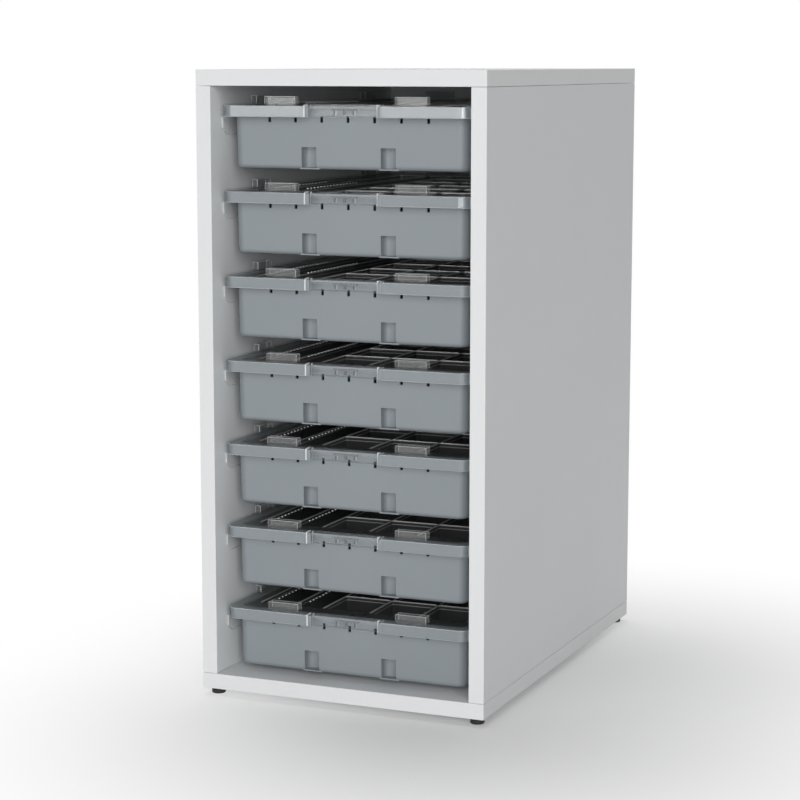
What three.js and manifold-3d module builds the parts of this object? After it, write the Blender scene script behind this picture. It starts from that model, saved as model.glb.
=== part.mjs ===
// Classroom tray storage unit: a white board cabinet with seven lidded trays that slide on clear runners.
// Millimetres, +Z up, front towards -Y. The origin is the middle of the footprint, on the floor.
import * as THREE from "three";
import { mergeVertices } from "three/addons/utils/BufferGeometryUtils.js";
import Module from "manifold-3d";

const wasm = await Module();
wasm.setup();

// Driving dimensions.
const trayCount = 7;
const fitGap = 0.3; // between pieces that seat on each other

// Lid: the largest outline of a tray, which the cabinet is sized around.
const lidWidth = 303;
const lidLength = 497;
const lidCornerRadius = 15;
const lidThickness = 2;
const lidEdgeRounding = 1.2;
const skirtWall = 1.8;
const skirtLift = 0.5; // the skirt ends this far above the rim's lip
const lidFit = 0.5; // around the tray's rim, inside the skirt

// Stacking lugs on the lid.
const lugHeight = 8.5;
const endLugWidth = 37.5;
const endLugDepth = 10;
const endLugOffset = 79; // from the middle line to the lug's middle
const endLugInset = 7; // from the lid's front or rear edge
const sideLugLength = 35;
const sideLugWidth = 6.8;
const sideLugInset = 3.2; // from the lid's side edge
const sideLugFromEnd = 93.6; // from the lid's end to the lug's middle

// Tray.
const trayHeight = 69.8;
const trayWall = 2.2;
const trayFloor = 2.2;
const flangeThickness = 2.2;
const lipHeight = 12.2;
const lipWall = 2;
const sideChannel = 5.4; // open space between the lip and the side wall
const endChannel = 12.2; // open space between the lip and the front or rear wall, deep enough for fingers
const bodyCornerRadius = 12;
const bodyDraft = 1; // each wall leans in this much from top to bottom
const bottomFillet = 5.5;

// Slots in the tray's front wall, just under the rim.
const slotCount = 7;
const slotPitch = 32;
const slotWidth = 3.4;
const slotDrop = 5.8; // below the lip
const slotRise = 1.2; // above the lip's lower edge

// Recesses at the foot of the tray's front wall.
const recessOffset = 48;
const recessWidth = 18;
const recessHeight = 24.5;
const recessDepth = 12;
const recessSill = 1.8;
const sillOverhang = 3; // past each side of the recess
const sillSetback = 2; // behind the foot of the front wall

// Label holder in the middle of the front rim.
const holderWidth = 82.4;
const holderSideGap = 4.3; // to the ends of the lid's skirt
const holderSetback = 3.8; // behind the lid's front edge
const holderPlate = 1.6;
const holderFrameProud = 0.6;
const holderStripHeight = 4.4; // down from the rim's top
const holderSillHeight = 1.6;
const holderHookDepth = 4;
const clipBarWidth = 29;
const clipBarHeight = 2;
const clipLegCount = 3;
const clipLegPitch = 11.4;
const clipLegWidth = 2.4;
const clipLegHeight = 5;
const clipLegDepth = 3;

// Sorting insert.
const insertFit = 2; // from the top plate to the tray's walls
const blockFit = 3.5; // from the block to the round at the tray's floor
const blockCornerRadius = 8;
const insertTopGap = 1.9; // below the flange's top
const insertPlate = 2;
const insertWall = 1.6;
const insertFloor = 1.5;
const insertFrontMargin = 11; // behind the tray's recesses
const channelWidths = [40.6, 36.1];
const columnCount = 3;
const rowCount = 6;

// Runners.
const runnerWeb = 2.4;
const runnerPlay = 1.8; // between the web and the lid's skirt
const runnerDrop = 19.8; // height of the web
const ledgeThickness = 2.2;
const ledgeBodyGap = 2.5; // to the tray's side wall
const runnerFrontInset = 26; // behind the cabinet's front
const runnerRearGap = 6; // to the back panel
const runnerChamferRun = 10;
const runnerChamferRise = 7.5;
const pegRadius = 2.5;
const pegFromEnd = 40;
const pegCover = 8; // board left behind the peg

// Cabinet.
const boardThickness = 18;
const frontSetback = 11; // the lids stand this far behind the cabinet's front
const rearClearance = 5;
const baseClearance = 6.9; // under the lowest tray
const stackGap = 15.4; // from a lid's lugs to the tray above
const headroom = 11.5; // over the top lid's lugs
const dowelRadius = 4;
const dowelGrip = 20; // length in the side panel
const dowelCover = 6; // board left over the dowel
const dowelInset = 60; // from the front and rear edges

// Glides.
const footHeight = 8;
const footRadius = 8.1;
const footChamfer = 1;
const footSideInset = 12.7;
const footEndInset = 14.4;
const spigotRadius = 3;
const spigotCover = 6; // board left over the spigot

// Steps of the round shapes.
const cornerSteps = 3;
const roundSteps = 8;
const footSteps = 16;

// How far a cutting shape runs past what it cuts, and a joined one into it.
const overcut = 1;
const weld = 0.4;

// Tray, in its own frame: z from its underside, y from its middle.
const trayWidth = lidWidth - 2 * (skirtWall + lidFit);
const trayLength = lidLength - 2 * (skirtWall + lidFit);
const rimCornerRadius = lidCornerRadius - skirtWall - lidFit;
const bodyWidth = trayWidth - 2 * (lipWall + sideChannel);
const bodyLength = trayLength - 2 * (lipWall + endChannel);
const flangeUnderside = trayHeight - flangeThickness;
const lipBottom = trayHeight - lipHeight;
const lidUnderside = trayHeight + fitGap;
const lidTop = lidUnderside + lidThickness;
const skirtBottom = lipBottom + skirtLift;
const lidFront = -lidLength / 2;
const bodyFront = -bodyLength / 2;
const recessBack = bodyFront + bodyDraft + recessDepth;
const recessLining = recessBack + trayWall;
const holderFront = lidFront + holderSetback;
const holderBack = holderFront + holderFrameProud + holderPlate;
const notchBack = holderBack + fitGap;
const hookBack = notchBack + holderHookDepth;
const skirtGapHalf = holderWidth / 2 + holderSideGap;
const ledgeTop = lipBottom - fitGap;

// Cabinet, around the trays.
const trayPitch = lidTop + lugHeight + stackGap;
const innerWidth = lidWidth + 2 * (runnerPlay + runnerWeb + fitGap);
const innerDepth = frontSetback + lidLength + rearClearance;
const innerHeight = baseClearance + trayCount * trayPitch - stackGap + headroom;
const cabinetWidth = innerWidth + 2 * boardThickness;
const cabinetDepth = innerDepth + boardThickness;
const cabinetFront = -cabinetDepth / 2;
const innerBase = footHeight + boardThickness;
const innerTop = innerBase + innerHeight;
const cabinetTop = innerTop + boardThickness;
const trayMiddle = cabinetFront + frontSetback + lidLength / 2;
const runnerFront = cabinetFront + runnerFrontInset;
const runnerRear = cabinetFront + innerDepth - runnerRearGap;
const pegHeight = ledgeTop - runnerDrop / 2;
const pegLength = boardThickness - pegCover;

// Finishes.
const finishes = {
  board: { color: 0xe6e8ea, roughness: 0.45, metalness: 0 },
  greyPlastic: { color: 0x9aa2a8, roughness: 0.5, metalness: 0 },
  clearPlastic: { color: 0xe9eef0, roughness: 0.08, metalness: 0, transparent: true, opacity: 0.35 },
  blackPlastic: { color: 0x1c1d1f, roughness: 0.4, metalness: 0 },
  beech: { color: 0xc9a87a, roughness: 0.7, metalness: 0 },
};

// A closed three.js shape as a solid that can be joined and cut.
function solidFrom(geometry) {
  const bare = geometry.clone();
  bare.deleteAttribute("normal");
  bare.deleteAttribute("uv");
  const merged = mergeVertices(bare);
  const corners = merged.index.array;
  const triangles = [];
  for (let i = 0; i < corners.length; i += 3) {
    const [a, b, c] = corners.slice(i, i + 3);
    if (a !== b && b !== c && c !== a) triangles.push(a, b, c);
  }
  const mesh = new wasm.Mesh({
    numProp: 3,
    vertProperties: merged.attributes.position.array,
    triVerts: new Uint32Array(triangles),
  });
  return new wasm.Manifold(mesh);
}

function geometryFrom(solid) {
  const mesh = solid.getMesh();
  const geometry = new THREE.BufferGeometry();
  geometry.setAttribute("position", new THREE.BufferAttribute(mesh.vertProperties, 3));
  geometry.setIndex(new THREE.BufferAttribute(mesh.triVerts, 1));
  geometry.computeVertexNormals();
  return geometry;
}

// A box from its lowest and highest coordinate along each axis.
function box([x0, x1], [y0, y1], [z0, z1]) {
  const shape = new THREE.BoxGeometry(x1 - x0, y1 - y0, z1 - z0);
  shape.translate((x0 + x1) / 2, (y0 + y1) / 2, (z0 + z1) / 2);
  return solidFrom(shape);
}

// A box around the middle line, from its width along X.
function middleBox(width, ySpan, zSpan, x = 0) {
  return box([x - width / 2, x + width / 2], ySpan, zSpan);
}

// An upright round rod, and one that lies along X.
function uprightRod(radius, [z0, z1], x, y) {
  const shape = new THREE.CylinderGeometry(radius, radius, z1 - z0, roundSteps);
  shape.rotateX(Math.PI / 2);
  shape.translate(x, y, (z0 + z1) / 2);
  return solidFrom(shape);
}

function crossRod(radius, [x0, x1], y, z) {
  const shape = new THREE.CylinderGeometry(radius, radius, x1 - x0, roundSteps);
  shape.rotateZ(Math.PI / 2);
  shape.translate((x0 + x1) / 2, y, z);
  return solidFrom(shape);
}

// A prism along X whose outline is given as [y, z] corners.
function prismAlongX(corners, [x0, x1]) {
  const outline = new THREE.Shape(corners.map(([y, z]) => new THREE.Vector2(y, z)));
  const shape = new THREE.ExtrudeGeometry(outline, { depth: x1 - x0, bevelEnabled: false });
  const turn = new THREE.Matrix4().makeBasis(
    new THREE.Vector3(0, 1, 0),
    new THREE.Vector3(0, 0, 1),
    new THREE.Vector3(1, 0, 0),
  );
  shape.applyMatrix4(turn);
  shape.translate(x0, 0, 0);
  return solidFrom(shape);
}

// The corners of a rectangle with round corners, counter-clockwise from above, at one height.
function ring(width, length, radius, z) {
  const points = [];
  const centres = [[1, 1], [-1, 1], [-1, -1], [1, -1]];
  centres.forEach(([sx, sy], quarter) => {
    for (let step = 0; step <= cornerSteps; step += 1) {
      const angle = (Math.PI / 2) * (quarter + step / cornerSteps);
      const x = sx * (width / 2 - radius) + radius * Math.cos(angle);
      const y = sy * (length / 2 - radius) + radius * Math.sin(angle);
      points.push([x, y, z]);
    }
  });
  return points;
}

// A closed skin over a row of rings, with a flat end on the first ring and on the last.
function loft(rings) {
  const count = rings[0].length;
  const indices = [];
  for (let level = 0; level + 1 < rings.length; level += 1) {
    for (let k = 0; k < count; k += 1) {
      const next = (k + 1) % count;
      const low = level * count;
      const high = low + count;
      indices.push(low + k, low + next, high + next, low + k, high + next, high + k);
    }
  }
  const last = (rings.length - 1) * count;
  for (let k = 1; k + 1 < count; k += 1) {
    indices.push(0, k + 1, k);
    indices.push(last, last + k, last + k + 1);
  }
  const geometry = new THREE.BufferGeometry();
  geometry.setAttribute("position", new THREE.Float32BufferAttribute(rings.flat(2), 3));
  geometry.setIndex(indices);
  return solidFrom(geometry);
}

function joined(solids) {
  return solids.reduce((whole, piece) => whole.add(piece));
}

function cut(solid, cutters) {
  return cutters.reduce((rest, cutter) => rest.subtract(cutter), solid);
}

// Evenly spaced places around zero.
function spread(count, pitch) {
  return Array.from({ length: count }, (_, i) => (i - (count - 1) / 2) * pitch);
}

// The tray's skin: outside from the floor up, round the rim's lip, and down the inside.
function traySkin() {
  const bottomWidth = bodyWidth - 2 * bodyDraft;
  const bottomLength = bodyLength - 2 * bodyDraft;
  const filletMiddle = bottomFillet * (1 - Math.SQRT1_2);
  const inset = (width, length, radius, by, z) => ring(width - 2 * by, length - 2 * by, radius - by, z);
  return loft([
    inset(bottomWidth, bottomLength, bodyCornerRadius, bottomFillet, 0),
    inset(bottomWidth, bottomLength, bodyCornerRadius, filletMiddle, filletMiddle),
    ring(bottomWidth, bottomLength, bodyCornerRadius, bottomFillet),
    ring(bodyWidth, bodyLength, bodyCornerRadius, flangeUnderside),
    inset(trayWidth, trayLength, rimCornerRadius, lipWall, flangeUnderside),
    inset(trayWidth, trayLength, rimCornerRadius, lipWall, lipBottom),
    ring(trayWidth, trayLength, rimCornerRadius, lipBottom),
    ring(trayWidth, trayLength, rimCornerRadius, trayHeight),
    inset(bodyWidth, bodyLength, bodyCornerRadius, trayWall, trayHeight),
    inset(bottomWidth, bottomLength, bodyCornerRadius, trayWall, bottomFillet),
    inset(bottomWidth, bottomLength, bodyCornerRadius, bottomFillet, trayFloor),
  ]);
}

// The middle of the front wall at a height, where the linings of the recesses join it.
function wallMiddle(z) {
  return bodyFront + bodyDraft * (1 - z / flangeUnderside) + trayWall / 2;
}

function recessParts(x) {
  const liningTop = recessHeight + trayWall;
  const liningBase = trayFloor / 2;
  const half = recessWidth / 2;
  const wallFoot = bodyFront + bodyDraft;
  const lining = prismAlongX(
    [
      [wallMiddle(bottomFillet), bottomFillet],
      [wallFoot + bottomFillet, liningBase],
      [recessLining, liningBase],
      [recessLining, liningTop],
      [wallMiddle(liningTop), liningTop],
    ],
    [x - half - trayWall, x + half + trayWall],
  );
  const sillSpan = [wallFoot + sillSetback, recessBack];
  const sill = middleBox(recessWidth + 2 * sillOverhang, sillSpan, [0, recessSill], x);
  const hollow = middleBox(recessWidth, [bodyFront - overcut, recessBack], [recessSill, recessHeight], x);
  return { lining, sill, hollow };
}

function tray() {
  const recesses = [-recessOffset, recessOffset].map(recessParts);
  const slots = spread(slotCount, slotPitch).map((x) =>
    middleBox(
      slotWidth,
      [bodyFront - overcut, bodyFront + bodyDraft + trayWall + overcut],
      [lipBottom - slotDrop, lipBottom + slotRise],
      x,
    ),
  );
  const notch = middleBox(
    holderWidth + 2 * fitGap,
    [lidFront, notchBack],
    [lipBottom - overcut, trayHeight + overcut],
  );
  const whole = joined([traySkin(), ...recesses.flatMap(({ lining, sill }) => [lining, sill])]);
  return cut(whole, [...recesses.map(({ hollow }) => hollow), ...slots, notch]);
}

function lidLugs() {
  const heights = [lidTop - weld, lidTop + lugHeight];
  const endMiddle = lidLength / 2 - endLugInset - endLugDepth / 2;
  const sideMiddle = lidWidth / 2 - sideLugInset - sideLugWidth / 2;
  const sideY = lidLength / 2 - sideLugFromEnd;
  const lugs = [];
  for (const sx of [-1, 1]) {
    for (const sy of [-1, 1]) {
      const endY = sy * endMiddle;
      const sideX = sx * sideMiddle;
      const endSpan = [endY - endLugDepth / 2, endY + endLugDepth / 2];
      const sideSpan = [sy * sideY - sideLugLength / 2, sy * sideY + sideLugLength / 2];
      lugs.push(middleBox(endLugWidth, endSpan, heights, sx * endLugOffset));
      lugs.push(middleBox(sideLugWidth, sideSpan, heights, sideX));
    }
  }
  return lugs;
}

function lid() {
  const inset = (by, z) => ring(lidWidth - 2 * by, lidLength - 2 * by, lidCornerRadius - by, z);
  const skin = loft([
    inset(skirtWall, lidUnderside),
    inset(skirtWall, skirtBottom),
    inset(0, skirtBottom),
    inset(0, lidTop - lidEdgeRounding),
    inset(lidEdgeRounding, lidTop),
  ]);
  const gap = middleBox(
    2 * skirtGapHalf,
    [lidFront - overcut, hookBack + lidFit],
    [skirtBottom - overcut, lidTop + overcut],
  );
  return cut(joined([skin, ...lidLugs()]), [gap]);
}

function labelHolder() {
  const windowFront = holderFront + holderFrameProud;
  const holderTop = lidTop - fitGap;
  const stripSpan = [trayHeight - holderStripHeight, trayHeight];
  const hookBottom = trayHeight + fitGap;
  const barTop = flangeUnderside - fitGap;
  const barBottom = barTop - clipBarHeight;
  const legs = spread(clipLegCount, clipLegPitch).map((x) =>
    middleBox(
      clipLegWidth,
      [holderBack - weld, holderBack + clipLegDepth],
      [barBottom - clipLegHeight, barBottom + weld],
      x,
    ),
  );
  return joined([
    middleBox(holderWidth, [windowFront, holderBack], [skirtBottom, holderTop]),
    middleBox(holderWidth, [holderFront, holderBack], stripSpan),
    middleBox(holderWidth, [holderFront, holderBack], [skirtBottom, skirtBottom + holderSillHeight]),
    middleBox(holderWidth, [holderBack - weld, hookBack], [hookBottom, holderTop]),
    middleBox(clipBarWidth, [holderBack - weld, hookBack], [barBottom, barTop]),
    ...legs,
  ]);
}

// Lowest and highest places of equal cells between two ends, with a divider between neighbours.
function cells(count, start, end) {
  const size = (end - start - (count - 1) * insertWall) / count;
  return Array.from({ length: count }, (_, i) => {
    const low = start + i * (size + insertWall);
    return [low, low + size];
  });
}

function insert() {
  const top = trayHeight - insertTopGap;
  const plateRadius = bodyCornerRadius - trayWall - insertFit;
  const plateWidth = bodyWidth - 2 * (trayWall + insertFit);
  const plateLength = bodyLength - 2 * (trayWall + insertFit);
  const floorInset = bodyDraft + bottomFillet + blockFit;
  const blockHalf = bodyWidth / 2 - floorInset;
  const blockFront = recessLining + insertFrontMargin;
  const blockRear = bodyLength / 2 - floorInset;
  const base = trayFloor + fitGap;
  const border = insertWall + blockCornerRadius * (1 - Math.SQRT1_2);
  const blockLength = blockRear - blockFront;
  const blockMiddle = (blockFront + blockRear) / 2;
  const blockRing = (z) =>
    ring(2 * blockHalf, blockLength, blockCornerRadius, z).map(([x, y]) => [x, y + blockMiddle, z]);
  const rowSpan = [blockFront + border, blockRear - border];
  const pocketHeights = [base + insertFloor, top + overcut];
  const pockets = [];
  let left = border - blockHalf;
  for (const width of channelWidths) {
    pockets.push(box([left, left + width], rowSpan, pocketHeights));
    left += width + insertWall;
  }
  for (const columnSpan of cells(columnCount, left, blockHalf - border)) {
    for (const cellSpan of cells(rowCount, ...rowSpan)) {
      pockets.push(box(columnSpan, cellSpan, pocketHeights));
    }
  }
  const plate = loft([
    ring(plateWidth, plateLength, plateRadius, top - insertPlate),
    ring(plateWidth, plateLength, plateRadius, top),
  ]);
  const block = loft([blockRing(base), blockRing(top - insertPlate + weld)]);
  return cut(plate.add(block), pockets);
}

// Both pegs of a runner, as rods between two places along X.
function runnerPegs(radius, xSpan, z) {
  const places = [runnerFront + pegFromEnd, runnerRear - pegFromEnd];
  return places.map((y) => crossRod(radius, xSpan, y, z));
}

// The runner on the left (side -1) or right (side 1), at the height of its own tray.
function runner(side) {
  const wallFace = innerWidth / 2 - fitGap;
  const webInside = wallFace - runnerWeb;
  const ledgeInside = bodyWidth / 2 + ledgeBodyGap;
  const across = (a, b) => [side * a, side * b].sort((p, q) => p - q);
  const webBottom = ledgeTop - runnerDrop;
  const web = prismAlongX(
    [
      [runnerFront, webBottom + runnerChamferRise],
      [runnerFront + runnerChamferRun, webBottom],
      [runnerRear, webBottom],
      [runnerRear, ledgeTop],
      [runnerFront, ledgeTop],
    ],
    across(webInside, wallFace),
  );
  const ledge = box(
    across(ledgeInside, webInside + weld),
    [runnerFront, runnerRear],
    [ledgeTop - ledgeThickness, ledgeTop],
  );
  const pegs = runnerPegs(pegRadius, across(wallFace - weld, wallFace + fitGap + pegLength), pegHeight);
  return joined([web, ledge, ...pegs]);
}

const sides = [["left", -1], ["right", 1]];
const ends = [["front", -1], ["rear", 1]];

// Where the dowels stand: each with the side panel it grips and the seam it crosses.
function dowelPlaces() {
  const x = cabinetWidth / 2 - boardThickness / 2;
  const y = cabinetDepth / 2 - dowelInset;
  const inBoard = boardThickness - dowelCover;
  const levels = {
    top: [innerTop - dowelGrip, innerTop + inBoard],
    bottom: [innerBase - inBoard, innerBase + dowelGrip],
  };
  const places = [];
  for (const [level, heights] of Object.entries(levels)) {
    for (const [sideName, sx] of sides) {
      for (const [endName, sy] of ends) {
        const name = `dowel_${level}_${sideName}_${endName}`;
        places.push({ name, level, sx, x: sx * x, y: sy * y, heights });
      }
    }
  }
  return places;
}

function dowelHole({ x, y, heights: [z0, z1] }) {
  return uprightRod(dowelRadius + fitGap, [z0 - fitGap, z1 + fitGap], x, y);
}

const footPlaces = ends.flatMap(([endName, sy]) =>
  sides.map(([sideName, sx]) => ({
    name: `foot_${endName}_${sideName}`,
    x: sx * (cabinetWidth / 2 - footSideInset),
    y: sy * (cabinetDepth / 2 - footEndInset),
  })),
);
const spigotTop = footHeight + boardThickness - spigotCover;

function foot({ x, y }) {
  const seat = footHeight - fitGap;
  const profile = [
    [0, 0],
    [footRadius - footChamfer, 0],
    [footRadius, footChamfer],
    [footRadius, seat],
    [spigotRadius, seat],
    [spigotRadius, spigotTop],
    [0, spigotTop],
  ].map(([r, z]) => new THREE.Vector2(r, z));
  const shape = new THREE.LatheGeometry(profile, footSteps);
  shape.rotateX(Math.PI / 2);
  shape.translate(x, y, 0);
  return solidFrom(shape);
}

function levelPanel(level, zSpan) {
  const board = middleBox(cabinetWidth, [cabinetFront, -cabinetFront], zSpan);
  return cut(board, dowelPlaces().filter((place) => place.level === level).map(dowelHole));
}

function bottomPanel() {
  const holes = footPlaces.map(({ x, y }) =>
    uprightRod(spigotRadius + fitGap, [footHeight - overcut, spigotTop + fitGap], x, y),
  );
  return cut(levelPanel("bottom", [footHeight, innerBase]), holes);
}

function bayBase(index) {
  return innerBase + baseClearance + index * trayPitch;
}

function sidePanel(side) {
  const xSpan = [innerWidth / 2, cabinetWidth / 2].map((x) => side * x).sort((a, b) => a - b);
  const holeSpan = [innerWidth / 2 - overcut, innerWidth / 2 + pegLength + fitGap]
    .map((x) => side * x)
    .sort((a, b) => a - b);
  const board = box(xSpan, [cabinetFront, -cabinetFront], [innerBase + fitGap, innerTop - fitGap]);
  const dowelHoles = dowelPlaces().filter(({ sx }) => sx === side).map(dowelHole);
  const pegHoles = Array.from({ length: trayCount }, (_, index) =>
    runnerPegs(pegRadius + fitGap, holeSpan, bayBase(index) + pegHeight),
  );
  return cut(board, [...dowelHoles, ...pegHoles.flat()]);
}

function backPanel() {
  return middleBox(
    innerWidth - 2 * fitGap,
    [-cabinetFront - boardThickness, -cabinetFront],
    [innerBase + fitGap, innerTop - fitGap],
  );
}

function addPiece(group, name, solid, finish) {
  const mesh = new THREE.Mesh(geometryFrom(solid), new THREE.MeshStandardMaterial(finishes[finish]));
  mesh.name = name;
  group.add(mesh);
}

function cabinet() {
  const group = new THREE.Group();
  addPiece(group, "top_panel", levelPanel("top", [innerTop, cabinetTop]), "board");
  addPiece(group, "bottom_panel", bottomPanel(), "board");
  addPiece(group, "left_side_panel", sidePanel(-1), "board");
  addPiece(group, "right_side_panel", sidePanel(1), "board");
  addPiece(group, "back_panel", backPanel(), "board");
  for (const place of dowelPlaces()) {
    addPiece(group, place.name, uprightRod(dowelRadius, place.heights, place.x, place.y), "beech");
  }
  for (const place of footPlaces) {
    addPiece(group, place.name, foot(place), "blackPlastic");
  }
  return group;
}

// One bay: the runners on the side panels and the lidded tray between them. Bays count from the lowest.
function bay(index) {
  const group = new THREE.Group();
  const number = index + 1;
  group.position.z = bayBase(index);
  addPiece(group, `left_runner_${number}`, runner(-1), "clearPlastic");
  addPiece(group, `right_runner_${number}`, runner(1), "clearPlastic");
  const drawer = new THREE.Group();
  drawer.position.y = trayMiddle;
  addPiece(drawer, `tray_${number}`, tray(), "greyPlastic");
  addPiece(drawer, `insert_${number}`, insert(), "blackPlastic");
  addPiece(drawer, `lid_${number}`, lid(), "clearPlastic");
  addPiece(drawer, `label_holder_${number}`, labelHolder(), "clearPlastic");
  group.add(drawer);
  return group;
}

const unit = new THREE.Group();
unit.add(cabinet());
for (let index = 0; index < trayCount; index += 1) {
  unit.add(bay(index));
}

export default unit;
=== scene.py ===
# Looks of the classroom tray storage unit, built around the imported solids.
# Sizes are in millimetres and become metres when a mesh is made. +Z is up, the open front is towards -Y.
import math

import bmesh
import bpy
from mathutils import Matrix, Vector


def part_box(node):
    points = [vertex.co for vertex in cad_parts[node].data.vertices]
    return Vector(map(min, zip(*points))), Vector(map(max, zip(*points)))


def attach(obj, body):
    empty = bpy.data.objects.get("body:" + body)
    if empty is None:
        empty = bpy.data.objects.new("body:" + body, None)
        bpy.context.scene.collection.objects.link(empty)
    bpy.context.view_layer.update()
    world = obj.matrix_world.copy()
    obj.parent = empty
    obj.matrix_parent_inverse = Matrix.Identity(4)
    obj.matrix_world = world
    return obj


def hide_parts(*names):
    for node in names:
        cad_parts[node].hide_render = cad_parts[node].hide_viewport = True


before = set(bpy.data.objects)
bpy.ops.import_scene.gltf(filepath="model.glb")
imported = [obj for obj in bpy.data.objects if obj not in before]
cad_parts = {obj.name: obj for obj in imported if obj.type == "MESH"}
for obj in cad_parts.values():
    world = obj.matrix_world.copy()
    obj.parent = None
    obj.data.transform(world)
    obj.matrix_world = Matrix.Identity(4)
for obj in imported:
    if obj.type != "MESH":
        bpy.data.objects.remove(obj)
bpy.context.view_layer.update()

MM = 0.001
TRAYS = range(1, 8)
SIDES = {"left": -1, "right": 1}

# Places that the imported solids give.
TRAY_LOW, TRAY_HIGH = (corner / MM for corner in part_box("tray_1"))
LID_LOW, LID_HIGH = (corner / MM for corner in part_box("lid_1"))
HOLDER_LOW, HOLDER_HIGH = (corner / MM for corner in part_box("label_holder_1"))
INSERT_LOW, INSERT_HIGH = (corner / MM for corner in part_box("insert_1"))
RUNNER_LOW, RUNNER_HIGH = (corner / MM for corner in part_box("right_runner_1"))
TRAY_MIDDLE = (LID_LOW.y + LID_HIGH.y) / 2
TRAY_BASE = {number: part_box(f"tray_{number}")[0].z / MM for number in TRAYS}

# Tray, in its own frame: z from its underside, y from its middle.
TRAY_WIDTH = TRAY_HIGH.x - TRAY_LOW.x
TRAY_LENGTH = TRAY_HIGH.y - TRAY_LOW.y
TRAY_HEIGHT = TRAY_HIGH.z - TRAY_LOW.z
TRAY_WALL = 2.2
TRAY_FLOOR = 2.2
FLANGE = 2.2
LIP_HEIGHT = 12.2
LIP_WALL = 2.0
SIDE_CHANNEL = 5.4
END_CHANNEL = 12.2
BODY_RADIUS = 12.0
BODY_DRAFT = 1.0
BOTTOM_FILLET = 5.5
RIM_RADIUS = 12.7
BODY_WIDTH = TRAY_WIDTH - 2 * (LIP_WALL + SIDE_CHANNEL)
BODY_LENGTH = TRAY_LENGTH - 2 * (LIP_WALL + END_CHANNEL)
BODY_FRONT = -BODY_LENGTH / 2
FLANGE_UNDERSIDE = TRAY_HEIGHT - FLANGE
LIP_BOTTOM = TRAY_HEIGHT - LIP_HEIGHT
SLOT_PITCH = 32.0
SLOT_PLACES = [SLOT_PITCH * step for step in range(-3, 4)]
SLOT_WIDTH = 3.4
SLOT_DROP = 5.8
SLOT_RISE = 1.2
RECESS_PLACES = (-48.0, 48.0)
RECESS_WIDTH = 18.0
RECESS_HEIGHT = 24.5
RECESS_DEPTH = 12.0
RECESS_SILL = 1.8
RECESS_RADIUS = 6.0
SILL_OVERHANG = 3.0
SILL_SETBACK = 2.0
WALL_FOOT = BODY_FRONT + BODY_DRAFT
RECESS_BACK = WALL_FOOT + RECESS_DEPTH
RECESS_LINING = RECESS_BACK + TRAY_WALL
TRAY_EDGE = 0.45
CUT_PAST = 1.0
WELD = 0.4
FIT_GAP = 0.3
CLOSE = 0.01

# Lid.
LID_WIDTH = LID_HIGH.x - LID_LOW.x
LID_LENGTH = LID_HIGH.y - LID_LOW.y
LID_RADIUS = 15.0
LID_FRONT = -LID_LENGTH / 2
LID_PLATE = 2.0
LID_UNDERSIDE = TRAY_HEIGHT + FIT_GAP
LID_TOP = LID_UNDERSIDE + LID_PLATE
LID_ROUNDING = 2.2
SKIRT_WALL = 1.8
SKIRT_BOTTOM = LID_LOW.z - TRAY_LOW.z
LUG_TOP = LID_HIGH.z - TRAY_LOW.z
LUG_WALL = 1.6
LUG_EDGE = 0.5
SKIRT_FOOT = 0.5
INNER_CHAMFER = 0.5
GAP_CHAMFER = 0.9
PIP_RADIUS = 1.0
PIP_TAPER = 0.9
PIP_HEIGHT = 0.8
PIP_PITCH = 9.0
PIP_COUNT = 16
END_LUG = (37.5, 10.0)
END_LUG_OFFSET = 79.0
END_LUG_INSET = 7.0
SIDE_LUG = (6.8, 35.0)
SIDE_LUG_INSET = 3.2
SIDE_LUG_FROM_END = 93.6

# Label holder.
HOLDER_HALF = (HOLDER_HIGH.x - HOLDER_LOW.x) / 2
SKIRT_GAP_ROOM = 4.3
SKIRT_GAP_HALF = HOLDER_HALF + SKIRT_GAP_ROOM
HOLDER_FRONT = HOLDER_LOW.y - TRAY_MIDDLE
HOLDER_HOOK_BACK = HOLDER_HIGH.y - TRAY_MIDDLE
HOLDER_TOP = HOLDER_HIGH.z - TRAY_LOW.z
HOLDER_PROUD = 0.6
HOLDER_WALL = 1.6
HOLDER_BACK = HOLDER_FRONT + HOLDER_PROUD + HOLDER_WALL
STRIP_HEIGHT = 4.4
STRIP_LOW = TRAY_HEIGHT - STRIP_HEIGHT
HOLDER_SILL = 1.6
HOLDER_EDGE = 0.25
HOLDER_CHAMFER = 1.3
TICK_PLACES = (-9.0, 9.0)
TICK_WIDTH = 0.9
TICK_DEPTH = 0.3
NOTCH_BACK = HOLDER_BACK + FIT_GAP
HOOK_ROOM = 0.5
LID_GAP_BACK = HOLDER_HOOK_BACK + HOOK_ROOM
CLIP_BAR_HALF = 14.5
CLIP_BAR_TOP = FLANGE_UNDERSIDE - FIT_GAP
CLIP_BAR_HEIGHT = 2.0
CLIP_LEG_PLACES = (-11.4, 0.0, 11.4)
CLIP_LEG_HALF = 1.2
CLIP_LEG_HEIGHT = 5.0
CLIP_LEG_DEPTH = 3.0

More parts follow.
